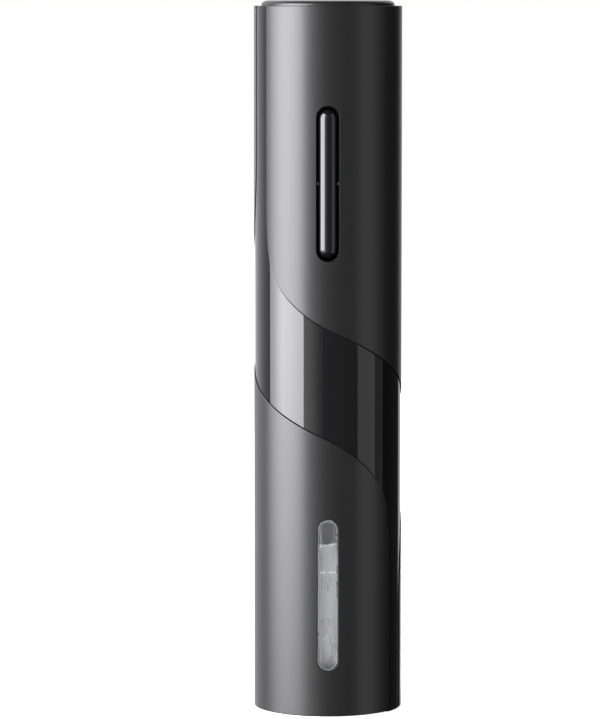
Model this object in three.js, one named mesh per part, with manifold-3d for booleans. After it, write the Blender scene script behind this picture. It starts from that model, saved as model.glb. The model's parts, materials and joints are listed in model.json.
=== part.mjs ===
// Battery electric wine opener, standing on its open mouth.
// Millimetres, +Z up, front towards -Y, origin at the middle of the base.
// Angles around the body are degrees from the front, positive towards +X.

import * as THREE from 'three';
import { mergeVertices } from 'three/addons/utils/BufferGeometryUtils.js';
import Module from 'manifold-3d';

const wasm = await Module();
wasm.setup();

// ---------- Driving dimensions ----------

const FIT = 0.25; // gap between parts that touch
const OVERCUT = 1; // how far a cutting tool runs past the face it cuts

// Outer body: a glossy tube with two matte sleeves let into it.
const SLEEVE_RADIUS = 25;
const SLEEVE_INNER = 24.05;
const GLOSS_RADIUS = 24.7;
const RECESS_RADIUS = 23.85;
const TUBE_INNER = 22.6;
const BODY_TOP = 238.2;
const SLEEVE_BOTTOM = 0.3; // the tube's own rim stands on the table
const LIP_THICKNESS = 1.2;
const LIP_INNER = 22.75;
const SWIRL_CENTRE = 112; // the two sleeves mirror each other through this height
const SLEEVE_COLUMNS = 11; // columns for each stretch of the sleeve's edge
const ROUND = 72; // facets round the outer body

// Button slot and window slot, both at the front.
const SLOT = { width: 7.9, height: 51.9, z: 179.2 };
const WINDOW = { width: 6.7, height: 50.9, z: 41.2 };
const LENS_OUTER = 24.6;
const LENS_FLANGE = { width: 9.6, height: 54.8, inner: 21.2, outer: 22.35 };

// Rocker button.
const ROCKER = { width: 6.5, height: 49.9, crest: 26, back: 20.6, pivot: 21.2, earBack: 19.9 };
const PIN_RADIUS = 0.75;
const PIN_HALF = 4.7;
const ROCKER_EAR = 2.6; // half width of the lug that the pin goes through
const ROCKER_FRAME = { width: 12.4, height: 57.6, back: 19.9, front: 22.4 };
const SWITCH_OFFSET = 16; // each switch sits this far above or below the pivot
const SWITCH = { half: 3, back: 17.2, front: 19.5, well: 1.8, wellBack: 17.8 };
const PLUNGER = { radius: 1.6, back: 18.7, front: 20.45 };
const BOARD = { half: 5, back: 15.9, front: 17.1, bottom: 156, top: 204 };

// Mouth and cork chamber.
const MOUTH = { bore: 16.5, outer: 17.8, shoulder: 34, top: 57.8, collar: 14.45, flange: 22.35, rim: 2.6 };
const CHAMBER = { bore: 12.5, outer: 14.2, bottom: 36.6, top: 86, flange: 19.7, flangeThickness: 2 };
const CHAMBER_RIBS = 6;

// Corkscrew.
const WORM = { tip: 13.5, radius: 3.3, wire: 1.4, pitch: 9, helixTop: 69, straight: 76, end: 83.8 };
const WORM_POINT = { length: 3.4, overlap: 0.2, tipRadius: 0.15 };
const HUB = { radius: 6.2, bottom: 77, top: 88.2, shaftHole: 85.2 };

// Chassis halves.
const CHASSIS = { bottom: 58.5, top: 163, outer: 20.9, inner: 18.9, rib: 22.35, ribHeight: 2 };
const CHASSIS_RIBS = [88.8, 144]; // undersides of the two ribs that bear on the tube
const SEAT_GAP = 0.2; // round the gearbox, the motor and the chamber's flange
const SCREW_HEIGHTS = [72, 136];
const SCREW_Y = 17.2;

// Gear train: three equal planetary stages, 4 to 1 each.
const MODULE = 0.8;
const SUN_TEETH = 12;
const RING_TEETH = 36;
const ORBIT = MODULE * SUN_TEETH; // sun and planets have the same number of teeth
const GEARBOX_RADIUS = 17.1;
const RING_BOTTOM = 91.3;
const RING_TOP = 118.5;
const STAGES = [
  { carrier: [95.2, 97.7], gears: [98.1, 103.1] },
  { carrier: [104.2, 106.2], gears: [106.6, 110.6] },
  { carrier: [111.6, 113.4], gears: [113.8, 117.6] },
];
const CARRIER_RADIUS = 12.8;
const POST_RADIUS = 1.5;
const OUTPUT_SHAFT = { radius: 4, bottom: 85.4 };
const OUTPUT_BUSH = { inner: 4.25, outer: 6 };
const GEARBOX_COVER = { hole: 6.2, boss: 8.4, bottom: 88.9, bossTop: 94.6 };

// Motor.
const MOTOR = { radius: 12.2, bore: 9, bottom: 121.4, top: 150, shaft: 1.15 };
const MOTOR_PLATE_HOLE = 6.1;

// Battery compartment: four AA cells.
const CELL = { radius: 7.15, offset: 7.5, bottom: 172, top: 222.3, nub: 2.7, nubHeight: 1.1 };
const TRAY = { outer: 19.4, bore: 7.7, bottom: 165.5, floor: 168.5, top: 222, front: 15.7 };
const CONTACT = { thickness: 0.4, width: 7, base: 168.8, lid: 225, pad: 2.2, padGap: 0.12 };
const SPRING = { wire: 0.32, turns: 2.6, wide: 4.4, narrow: 1.9, gap: 0.45 };

// Lid: a quarter-turn bayonet cap whose contact plate doesn't turn with it.
const LID = { radius: 22.5, seat: 236.4, top: 240, edge: 1 };
const SKIRT = { inner: 18.4, outer: 19.9, bottom: 224.6 };
const LID_SOCKET = { inner: 3.3, outer: 5.4, bottom: 230.5 };
const LID_CARRIER = { disc: 17.8, bottom: 225.7, top: 228.2, post: 3, postTop: 235.8 };
const NECK = { inner: 20.2, outer: 22.35, bottom: 222.6, top: 236.1 };
const LUG = { angles: [40, 160, 280], half: 7, z: 230.6, halfHeight: 1.1, tip: 21.2 };
const THREAD_RISE = 0.1; // millimetres of lift for each degree of turn
const THREAD_RUN = 76; // degrees until the groove is open at the top

// ---------- Materials ----------

const finish = (color, roughness, metalness) => ({ color, roughness, metalness });
const MATTE_BLACK = finish(0x1b1b1d, 0.5, 0);
const GLOSS_BLACK = finish(0x08080a, 0.08, 0);
const INNER_BLACK = finish(0x232325, 0.6, 0);
const FROSTED = finish(0xc9cbce, 0.35, 0);
const STEEL = finish(0xb9bcc0, 0.28, 1);
const BRONZE = finish(0xa87b45, 0.4, 1);
const NYLON = finish(0xe4e1d6, 0.55, 0);
const BOARD_GREEN = finish(0x1d4a34, 0.5, 0);
const CELL_JACKET = finish(0x8d9296, 0.35, 1);
const SPRING_WIRE = finish(0xc7c9cc, 0.25, 1);

// ---------- Solid helpers ----------

const opener = new THREE.Group();

// Turns a closed three.js geometry into a solid that can be cut and joined.
function solid(geometry) {
  const bare = geometry.clone();
  bare.deleteAttribute('normal');
  bare.deleteAttribute('uv');
  const merged = mergeVertices(bare, 1e-4);
  const corners = merged.index.array;
  const triangles = [];
  for (let i = 0; i < corners.length; i += 3) {
    const [a, b, c] = [corners[i], corners[i + 1], corners[i + 2]];
    if (a !== b && b !== c && c !== a) {
      triangles.push([a, b, c]);
    }
  }
  const build = (order) => new wasm.Manifold(new wasm.Mesh({
    numProp: 3,
    vertProperties: new Float32Array(merged.attributes.position.array),
    triVerts: new Uint32Array(triangles.flatMap(order)),
  }));
  const shape = build((corner) => corner);
  return shape.volume() > 0 ? shape : build(([a, b, c]) => [a, c, b]);
}

// Adds a solid to the opener as a named mesh.
function piece(name, shape, { color, roughness, metalness }, parent = opener) {
  const { vertProperties, triVerts } = shape.getMesh();
  const geometry = new THREE.BufferGeometry();
  geometry.setAttribute('position', new THREE.BufferAttribute(vertProperties, 3));
  geometry.setIndex(new THREE.BufferAttribute(triVerts, 1));
  geometry.computeVertexNormals();
  const mesh = new THREE.Mesh(geometry, new THREE.MeshStandardMaterial({ color, roughness, metalness }));
  mesh.name = name;
  parent.add(mesh);
}

function block([x0, x1], [y0, y1], [z0, z1]) {
  const geometry = new THREE.BoxGeometry(x1 - x0, y1 - y0, z1 - z0);
  return solid(geometry.translate((x0 + x1) / 2, (y0 + y1) / 2, (z0 + z1) / 2));
}

// An upright round bar.
function bar(radius, [z0, z1], { x = 0, y = 0, facets = 28 } = {}) {
  const geometry = new THREE.CylinderGeometry(radius, radius, z1 - z0, facets);
  return solid(geometry.rotateX(Math.PI / 2).translate(x, y, (z0 + z1) / 2));
}

// A round bar along X.
function crossBar(radius, [x0, x1], { y = 0, z = 0, facets = 12 } = {}) {
  const geometry = new THREE.CylinderGeometry(radius, radius, x1 - x0, facets);
  return solid(geometry.rotateZ(Math.PI / 2).translate((x0 + x1) / 2, y, z));
}

// A round bar along Y.
function depthBar(radius, [y0, y1], { x = 0, z = 0, facets = 12 } = {}) {
  const geometry = new THREE.CylinderGeometry(radius, radius, y1 - y0, facets);
  return solid(geometry.translate(x, (y0 + y1) / 2, z));
}

// An upright turned shape from [radius, height] points, closed on the axis or on itself.
function turned(points, facets = 36) {
  const profile = points.map(([radius, z]) => new THREE.Vector2(radius, z));
  if (points[0][0] > 0) {
    profile.push(profile[0].clone());
  }
  return solid(new THREE.LatheGeometry(profile, facets).rotateX(Math.PI / 2));
}

function ring(inner, outer, [z0, z1], facets = 36) {
  return turned([[inner, z0], [outer, z0], [outer, z1], [inner, z1]], facets);
}

// A slot-shaped prism seen from the front, from back to front in depth (both measured towards -Y).
function pill({ width, height, z }, [back, front], arcSteps = 4) {
  const radius = width / 2;
  const reach = height / 2 - radius;
  const shape = new THREE.Shape();
  shape.absarc(0, reach, radius, 0, Math.PI);
  shape.absarc(0, -reach, radius, Math.PI, 2 * Math.PI);
  const geometry = new THREE.ExtrudeGeometry(shape, {
    depth: front - back, bevelEnabled: false, curveSegments: arcSteps,
  });
  return solid(geometry.rotateX(Math.PI / 2).translate(0, -back, z));
}

// A plate bent round the axis. Each station is [angle, lower edge, upper edge].
function bentPlate(stations, inner, outer) {
  const columns = stations.length - 1;
  const geometry = new THREE.BoxGeometry(1, 1, 1, columns, 1, 1);
  const position = geometry.attributes.position;
  for (let i = 0; i < position.count; i += 1) {
    const column = Math.round((position.getX(i) + 0.5) * columns);
    const [angle, low, high] = stations[column];
    const radius = position.getZ(i) > 0 ? outer : inner;
    const turn = THREE.MathUtils.degToRad(angle);
    const z = position.getY(i) > 0 ? high : low;
    position.setXYZ(i, radius * Math.sin(turn), -radius * Math.cos(turn), z);
  }
  return solid(geometry);
}

const joined = (shapes) => shapes.reduce((whole, shape) => whole.add(shape));
const cut = (shape, tools) => tools.reduce((rest, tool) => rest.subtract(tool), shape);

// ---------- Outer body ----------

// The upper sleeve's edge, [angle, height]: down the left, round a corner, across the front in a
// shallow sweep, round the back and up again to the glossy strip.
function sleeveEdge() {
  const edge = new THREE.Path();
  edge.moveTo(-56, 172);
  edge.bezierCurveTo(-56, 157.6, -51.5, 151.5, -47, 148.1);
  edge.bezierCurveTo(-39, 142.1, -20, 134.9, 0, 130.6);
  edge.bezierCurveTo(30, 124.6, 60, 118, 90, 108.2);
  edge.bezierCurveTo(102, 104.6, 120, 104.6, 135, 104.6);
  edge.bezierCurveTo(166, 104.6, 226, 138, 262, 156);
  edge.bezierCurveTo(271, 160.5, 283, 173, 283, 189);
  return edge.getPoints(SLEEVE_COLUMNS).map(({ x, y }) => [x, y]);
}

// The same edge moved outwards by a gap, for the recess that the sleeve lies in.
function widened(edge, gap) {
  const degree = THREE.MathUtils.degToRad(1) * SLEEVE_RADIUS;
  return edge.map(([angle, z], i) => {
    const [angleBefore, zBefore] = edge[Math.max(i - 1, 0)];
    const [angleAfter, zAfter] = edge[Math.min(i + 1, edge.length - 1)];
    const along = new THREE.Vector2((angleAfter - angleBefore) * degree, zAfter - zBefore).normalize();
    return [angle + gap * along.y / degree, z - gap * along.x];
  });
}

const upperStations = (edge, top) => edge.map(([angle, z]) => [angle, z, top]);

// The lower sleeve is the upper one turned half round on the front of the body.
function lowerStations(edge, bottom) {
  const turned180 = edge.map(([angle, z]) => [-angle, bottom, 2 * SWIRL_CENTRE - z]);
  return turned180.reverse();
}

function outerBody() {
  const edge = sleeveEdge();
  const recessEdge = widened(edge, FIT);
  const past = SLEEVE_RADIUS + OVERCUT;
  const buttonSlot = pill(SLOT, [TUBE_INNER - 2, past]);
  const windowSlot = pill({
    width: WINDOW.width + 2 * FIT, height: WINDOW.height + 2 * FIT, z: WINDOW.z,
  }, [TUBE_INNER - 2, past]);

  const lip = upperStations(edge, BODY_TOP).map(([angle, , top]) => [angle, top - LIP_THICKNESS, top]);
  const lipRecess = recessEdge.map(([angle]) => [angle, BODY_TOP - LIP_THICKNESS - FIT, BODY_TOP + OVERCUT]);

  const tube = cut(ring(TUBE_INNER, GLOSS_RADIUS, [0, BODY_TOP], ROUND), [
    bentPlate(upperStations(recessEdge, BODY_TOP + OVERCUT), RECESS_RADIUS, past),
    bentPlate(lowerStations(recessEdge, -OVERCUT), RECESS_RADIUS, past),
    bentPlate(lipRecess, TUBE_INNER - OVERCUT, RECESS_RADIUS + OVERCUT),
    buttonSlot,
    windowSlot,
  ]);
  piece('body_tube', tube, GLOSS_BLACK);

  const upper = bentPlate(upperStations(edge, BODY_TOP), SLEEVE_INNER, SLEEVE_RADIUS)
    .add(bentPlate(lip, LIP_INNER, SLEEVE_INNER + FIT))
    .subtract(buttonSlot);
  piece('upper_sleeve', upper, MATTE_BLACK);

  const lower = bentPlate(lowerStations(edge, SLEEVE_BOTTOM), SLEEVE_INNER, SLEEVE_RADIUS);
  piece('lower_sleeve', lower.subtract(windowSlot), MATTE_BLACK);
}

// The window is a clear plug with a flange behind the tube wall.
function windowLens() {
  const { z } = WINDOW;
  const { width, height, inner, outer } = LENS_FLANGE;
  const stem = pill(WINDOW, [inner, LENS_OUTER + OVERCUT])
    .intersect(ring(inner, LENS_OUTER, [z - height, z + height], ROUND));
  const flange = pill({ width, height, z }, [inner - OVERCUT, outer])
    .intersect(ring(inner, outer, [z - height, z + height], ROUND));
  piece('window_lens', stem.add(flange), FROSTED);
}

// ---------- Mouth and cork chamber ----------

function mouth() {
  const { bore, outer, shoulder, top, collar, flange, rim } = MOUTH;
  piece('mouth_sleeve', turned([
    [bore, SLEEVE_BOTTOM], [flange, SLEEVE_BOTTOM], [flange, rim], [outer, rim], [outer, top],
    [collar, top], [collar, shoulder], [bore, shoulder],
  ]), FROSTED);
}

// The ribs bite into the cork and stop it turning with the screw.
function corkChamber() {
  const { bore, outer, bottom, top, flange, flangeThickness } = CHAMBER;
  const flangeBottom = top - flangeThickness;
  const hubHole = 7;
  const ribTip = bore - 0.6;
  const shell = turned([
    [bore, bottom], [outer, bottom], [outer, flangeBottom], [flange, flangeBottom], [flange, top],
    [hubHole, top], [hubHole, flangeBottom], [bore, flangeBottom],
  ]);
  const ribs = [];
  for (let i = 0; i < CHAMBER_RIBS; i += 1) {
    const rib = block([ribTip, bore + 0.4], [-0.5, 0.5], [bottom + 2, flangeBottom - 4]);
    ribs.push(rib.rotate([0, 0, i * 360 / CHAMBER_RIBS]));
  }
  piece('cork_chamber', joined([shell, ...ribs]), INNER_BLACK);
}

// ---------- Corkscrew ----------

// A helix that runs in to the axis at its upper end.
class WormCurve extends THREE.Curve {
  getPoint(t, target = new THREE.Vector3()) {
    const z = THREE.MathUtils.lerp(WORM.tip, WORM.end, t);
    const turn = 2 * Math.PI * Math.min(z, WORM.straight) / WORM.pitch;
    const radius = WORM.radius * (1 - THREE.MathUtils.smoothstep(z, WORM.helixTop, WORM.straight));
    return target.set(radius * Math.cos(turn), radius * Math.sin(turn), z);
  }
}

function corkscrew() {
  const curve = new WormCurve();
  const section = new THREE.Shape().absarc(0, 0, WORM.wire, 0, 2 * Math.PI);
  const wire = new THREE.ExtrudeGeometry(section, {
    extrudePath: curve, steps: 76, curveSegments: 4, bevelEnabled: false,
  });
  const { length, overlap, tipRadius } = WORM_POINT;
  const backwards = curve.getTangent(0).negate();
  const point = new THREE.CylinderGeometry(tipRadius, WORM.wire * 0.96, length, 8);
  point.translate(0, length / 2 - overlap, 0);
  point.applyQuaternion(new THREE.Quaternion().setFromUnitVectors(new THREE.Vector3(0, 1, 0), backwards));
  const start = curve.getPoint(0);
  point.translate(start.x, start.y, start.z);
  piece('corkscrew', solid(wire).add(solid(point)), STEEL);
}

// ---------- Gear train ----------

// A toothed outline. Each tooth is a trapezium from an inner to an outer circle, given by its
// half widths on them; a ring gear's hole is the same outline with its spaces as the teeth.
function toothed(teeth, { inner, outer, innerHalf, outerHalf }, firstTooth = 0) {
  const outline = [];
  for (let i = 0; i < teeth; i += 1) {
    const middle = firstTooth + 2 * Math.PI * i / teeth;
    const corner = (radius, offset) => {
      const angle = middle + offset / radius;
      outline.push(new THREE.Vector2(radius * Math.cos(angle), radius * Math.sin(angle)));
    };
    corner(inner, -innerHalf);
    corner(outer, -outerHalf);
    corner(outer, outerHalf);
    corner(inner, innerHalf);
  }
  return outline;
}

function extruded(shape, [z0, z1]) {
  const geometry = new THREE.ExtrudeGeometry(shape, {
    depth: z1 - z0, bevelEnabled: false, curveSegments: 18,
  });
  return solid(geometry.translate(0, 0, z0));
}

const PITCH_RADIUS = MODULE * SUN_TEETH / 2;
const RING_PITCH = MODULE * RING_TEETH / 2;
const WHEEL_TOOTH = {
  inner: PITCH_RADIUS - 0.95, outer: PITCH_RADIUS + 0.7, innerHalf: 0.78, outerHalf: 0.24,
};
const RING_SPACE = {
  inner: RING_PITCH - 0.65, outer: RING_PITCH + 1, innerHalf: 0.95, outerHalf: 0.5,
};

// A sun or planet wheel at the axis, with its first tooth at an angle in degrees.
function wheel(heights, firstTooth = 0, bore = 0) {
  const shape = new THREE.Shape(toothed(SUN_TEETH, WHEEL_TOOTH, THREE.MathUtils.degToRad(firstTooth)));
  if (bore > 0) {
    shape.holes.push(new THREE.Path().absarc(0, 0, bore, 0, 2 * Math.PI, true));
  }
  const geometry = new THREE.ExtrudeGeometry(shape, {
    depth: heights[1] - heights[0], bevelEnabled: false, curveSegments: 6,
  });
  return solid(geometry.translate(0, 0, heights[0]));
}

function planetPlaces() {
  return [0, 120, 240].map((angle) => {
    const turn = THREE.MathUtils.degToRad(angle);
    return { angle, x: ORBIT * Math.cos(turn), y: ORBIT * Math.sin(turn) };
  });
}

// A carrier plate with three planet posts above it; what drives the next stage hangs below it.
function carrier({ carrier: [low, high], gears }) {
  const posts = planetPlaces().map(({ x, y }) => (
    bar(POST_RADIUS, [high - 0.2, gears[1] + 0.2], { x, y, facets: 12 })
  ));
  return joined([bar(CARRIER_RADIUS, [low, high]), ...posts]);
}

function planets(stageName, { gears }) {
  const halfPitch = 180 / SUN_TEETH;
  planetPlaces().forEach(({ angle, x, y }, i) => {
    const planet = wheel(gears, angle + 180 + halfPitch, POST_RADIUS + 0.15);
    piece(`${stageName}_planet_${i + 1}`, planet.translate([x, y, 0]), NYLON);
  });
}

function gearbox() {
  const [output, middle, input] = STAGES;

  const ringShape = new THREE.Shape().absarc(0, 0, GEARBOX_RADIUS, 0, 2 * Math.PI);
  const halfPitch = Math.PI / RING_TEETH;
  ringShape.holes.push(new THREE.Path(toothed(RING_TEETH, RING_SPACE, halfPitch).reverse()));
  piece('gearbox_ring', extruded(ringShape, [RING_BOTTOM, RING_TOP]), INNER_BLACK);

  const { hole, boss, bottom, bossTop } = GEARBOX_COVER;
  piece('gearbox_cover', turned([
    [hole, bottom], [GEARBOX_RADIUS, bottom], [GEARBOX_RADIUS, RING_BOTTOM - 0.2],
    [boss, RING_BOTTOM - 0.2], [boss, bossTop], [hole, bossTop],
  ]), INNER_BLACK);
  piece('output_bush', ring(OUTPUT_BUSH.inner, OUTPUT_BUSH.outer, [bottom, bossTop], 28), BRONZE);

  const shaft = bar(OUTPUT_SHAFT.radius, [OUTPUT_SHAFT.bottom, output.carrier[0] + 0.2]);
  piece('output_carrier', carrier(output).add(shaft), STEEL);
  planets('output', output);

  const middleSun = wheel([output.gears[0], middle.carrier[0] + 0.2]);
  piece('middle_carrier', carrier(middle).add(middleSun), NYLON);
  planets('middle', middle);

  const inputSun = wheel([middle.gears[0], input.carrier[0] + 0.2]);
  piece('input_carrier', carrier(input).add(inputSun), NYLON);
  planets('input', input);

  piece('corkscrew_hub', cut(bar(HUB.radius, [HUB.bottom, HUB.top]), [
    bar(WORM.wire + 0.2, [HUB.bottom - OVERCUT, WORM.end + 0.2], { facets: 16 }),
    bar(OUTPUT_SHAFT.radius + 0.15, [HUB.shaftHole, HUB.top + OVERCUT]),
  ]), STEEL);
}

// ---------- Motor ----------

function motor() {
  const { radius, bore, bottom, top, shaft } = MOTOR;
  const shaftHole = shaft + 0.3;
  const input = STAGES[2];
  piece('motor_plate', ring(MOTOR_PLATE_HOLE, GEARBOX_RADIUS, [RING_TOP + 0.3, bottom - 0.6]), STEEL);
  piece('motor_can', turned([
    [shaftHole, bottom], [radius, bottom], [radius, top], [bore, top],
    [bore, bottom + 2], [shaftHole, bottom + 2],
  ], 28), STEEL);
  const plug = turned([
    [shaftHole, top - 3], [bore - 0.2, top - 3], [bore - 0.2, top + 0.2], [radius - 0.3, top + 0.2],
    [radius - 0.3, top + 2.4], [shaftHole, top + 2.4],
  ], 24);
  const tabs = [-1, 1].map((side) => (
    block([side * 7 - 1.2, side * 7 + 1.2], [-0.25, 0.25], [top + 2, top + 6])
  ));
  piece('motor_end_cap', joined([plug, ...tabs]), INNER_BLACK);
  piece('motor_shaft', bar(shaft, [input.gears[0] - 0.1, top + 4], { facets: 16 }), STEEL);
  piece('motor_pinion', wheel([input.gears[0], RING_TOP], 0, shaft + 0.1), BRONZE);
}

// ---------- Chassis ----------

// One screw along X, made a little larger for the hole that it goes in.
function chassisScrew(y, z, gap = 0) {
  const shank = crossBar(1.2 + gap, [-8 - gap, 7.4], { y, z, facets: 8 });
  const head = crossBar(2.2 + gap, [7.2 - gap, 8.8 + gap * 20], { y, z });
  return shank.add(head);
}

const screwPlaces = () => SCREW_HEIGHTS.flatMap((z) => [-SCREW_Y, SCREW_Y].map((y) => ({ y, z })));

// Two half shells clamp the cork chamber's flange, the gearbox and the motor.
function chassis() {
  const { bottom, top, outer, inner, rib, ribHeight } = CHASSIS;
  const ribs = CHASSIS_RIBS.flatMap((z) => (
    [[outer, z], [rib, z], [rib, z + ribHeight], [outer, z + ribHeight]]
  ));
  const motorSeat = MOTOR.radius + SEAT_GAP;
  const gearboxSeat = GEARBOX_RADIUS + SEAT_GAP;
  const flangeSeat = CHAMBER.flange + SEAT_GAP;
  const shelf = CHAMBER.top - CHAMBER.flangeThickness - SEAT_GAP;
  const shelfHole = CHAMBER.outer + 3 * SEAT_GAP;
  const shaftHole = 9;
  const cableHole = 14;
  const gearboxFloor = GEARBOX_COVER.bottom - SEAT_GAP;
  const motorFloor = MOTOR.bottom - SEAT_GAP;
  const wall = 2;
  const whole = turned([
    [inner, bottom], [outer, bottom], ...ribs, [outer, top],
    [cableHole, top], [cableHole, top - wall], [inner, top - wall],
    [inner, MOTOR.top], [motorSeat, MOTOR.top - 0.4], [motorSeat, MOTOR.top - 2.4], [inner, MOTOR.top - 2.8],
    [inner, motorFloor + 2.8], [motorSeat, motorFloor + 2.4], [motorSeat, motorFloor],
    [gearboxSeat, motorFloor - 0.2], [gearboxSeat, gearboxFloor], [shaftHole, gearboxFloor],
    [shaftHole, CHAMBER.top + SEAT_GAP], [flangeSeat, CHAMBER.top + SEAT_GAP], [flangeSeat, shelf],
    [shelfHole, shelf], [shelfHole, shelf - wall], [inner, shelf - wall],
  ], 24);
  const bosses = screwPlaces().map(({ y, z }) => crossBar(2.9, [-9.5, 9.5], { y, z }));
  const envelope = bar(outer, [bottom, top], { facets: 24 });
  const switchSpace = block([-9, 9], [-2 * outer, -15.6], [148.5, top + OVERCUT]);
  const screwHoles = screwPlaces().map(({ y, z }) => chassisScrew(y, z, 0.15));
  const shell = cut(whole.add(joined(bosses).intersect(envelope)), [switchSpace, ...screwHoles]);
  const half = (side) => {
    const [near, far] = [side * 0.1, side * 2 * outer];
    const halfSpace = block([Math.min(near, far), Math.max(near, far)], [-30, 30], [bottom - 1, top + 1]);
    return shell.intersect(halfSpace);
  };
  piece('chassis_left', half(-1), INNER_BLACK);
  piece('chassis_right', half(1), INNER_BLACK);
  screwPlaces().forEach(({ y, z }, i) => piece(`chassis_screw_${i + 1}`, chassisScrew(y, z), STEEL));
}

// ---------- Button and switches ----------

function rocker() {
  const { width, height, crest, back, pivot, earBack } = ROCKER;
  const radius = width / 2;
  const dome = new THREE.CapsuleGeometry(radius, height - width, 4, 16).rotateX(Math.PI / 2);
  dome.translate(0, radius - crest, SLOT.z);
  const base = pill({ width, height, z: SLOT.z }, [back, crest - radius], 6);
  const behind = block([-width, width], [-back, width], [0, BODY_TOP]);
  const earHeights = [SLOT.z - ROCKER_EAR + 0.2, SLOT.z + ROCKER_EAR - 0.2];
  const ear = block([-ROCKER_EAR, ROCKER_EAR], [-back - 0.3, -earBack], earHeights);
  const pinHole = crossBar(PIN_RADIUS + 0.15, [-width, width], { y: -pivot, z: SLOT.z });
  const body = cut(solid(dome).add(base), [behind]).add(ear);
  piece('rocker_button', body.subtract(pinHole), GLOSS_BLACK);
  piece('rocker_pin', crossBar(PIN_RADIUS, [-PIN_HALF, PIN_HALF], { y: -pivot, z: SLOT.z }), STEEL);
}

// The frame behind the slot holds the rocker's pin.
function rockerFrame() {
  const { width, height, back, front } = ROCKER_FRAME;
  const frame = pill({ width, height, z: SLOT.z }, [back, front])
    .intersect(bar(front, [0, BODY_TOP], { facets: ROUND }));
  piece('rocker_frame', cut(frame, [
    pill(SLOT, [back - OVERCUT, front + OVERCUT]),
    crossBar(PIN_RADIUS + 0.1, [-PIN_HALF - 0.2, PIN_HALF + 0.2], { y: -ROCKER.pivot, z: SLOT.z }),
  ]), INNER_BLACK);
}

function switches() {
  const board = block([-BOARD.half, BOARD.half], [-BOARD.front, -BOARD.back], [BOARD.bottom, BOARD.top]);
  piece('switch_board', board, BOARD_GREEN);
  const { half, back, front, well, wellBack } = SWITCH;
  const sides = { lower: -1, upper: 1 };
  for (const [side, sign] of Object.entries(sides)) {
    const z = SLOT.z + sign * SWITCH_OFFSET;
    const body = block([-half, half], [-front, -back], [z - half, z + half]);
    const opening = depthBar(well, [-front - OVERCUT, -wellBack], { z });
    piece(`${side}_switch`, body.subtract(opening), INNER_BLACK);
    piece(`${side}_plunger`, depthBar(PLUNGER.radius, [-PLUNGER.front, -PLUNGER.back], { z }), NYLON);
  }
}

// ---------- Batteries and contacts ----------

// Cells in order round the tray; the nub is at the top or at the bottom.
const CELLS = [
  { x: -1, y: -1, nubUp: true },
  { x: 1, y: -1, nubUp: false },
  { x: 1, y: 1, nubUp: true },
  { x: -1, y: 1, nubUp: false },
].map(({ x, y, nubUp }) => ({ x: x * CELL.offset, y: y * CELL.offset, nubUp }));

function batteries() {
  const { radius, bottom, top, nub, nubHeight } = CELL;
  CELLS.forEach(({ x, y, nubUp }, i) => {
    const jacket = nubUp ? [bottom, top - nubHeight] : [bottom + nubHeight, top];
    const cell = bar(radius, jacket, { x, y }).add(bar(nub, [bottom, top], { x, y, facets: 16 }));
    piece(`battery_${i + 1}`, cell, CELL_JACKET);
  });
}

function batteryTray() {
  const { outer, bore, bottom, floor, top, front } = TRAY;
  const bores = CELLS.map(({ x, y }) => bar(bore, [floor, top + OVERCUT], { x, y }));
  const flat = block([-30, 30], [-30, -front], [bottom - 1, top + 1]);
  const bridgeHalf = CELL.offset + CONTACT.width / 2 + FIT;
  const bridgeRecess = block(
    [-bridgeHalf, bridgeHalf],
    [bridgeHalf - CONTACT.width - 2 * FIT, bridgeHalf],
    [floor, CONTACT.base + CONTACT.thickness + FIT],
  );
  const body = bar(outer, [bottom, top], { facets: 40 });
  piece('battery_tray', cut(body, [...bores, flat, bridgeRecess]), INNER_BLACK);
}

// A flat contact strip between cells, with a round pad up or down to a cell's nub.
function contact(cells, height, padTo) {
  const { thickness, width } = CONTACT;
  const xs = cells.map(({ x }) => x);
  const ys = cells.map(({ y }) => y);
  const half = width / 2;
  const strip = block(
    [Math.min(...xs) - half, Math.max(...xs) + half],
    [Math.min(...ys) - half, Math.max(...ys) + half],
    [height, height + thickness],
  );
  const pads = cells
    .filter(({ nubUp }) => nubUp === (padTo > CELL.bottom + 1))
    .map(({ x, y }) => {
      const ends = [height + thickness / 2, padTo];
      return bar(CONTACT.pad, [Math.min(...ends), Math.max(...ends)], { x, y, facets: 16 });
    });
  return joined([strip, ...pads]);
}

// A conical spring of round wire, widest where it sits on its contact.
function coneSpring({ x, y }, seat, tip) {
  const { wire, turns, wide, narrow } = SPRING;
  class SpringCurve extends THREE.Curve {
    getPoint(t, target = new THREE.Vector3()) {
      const radius = THREE.MathUtils.lerp(wide, narrow, t);
      const turn = 2 * Math.PI * turns * t;
      return target.set(x + radius * Math.cos(turn), y + radius * Math.sin(turn), seat + (tip - seat) * t);
    }
  }
  const section = new THREE.Shape().absarc(0, 0, wire, 0, 2 * Math.PI);
  return solid(new THREE.ExtrudeGeometry(section, {
    extrudePath: new SpringCurve(), steps: 22, curveSegments: 3, bevelEnabled: false,
  }));
}

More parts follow.
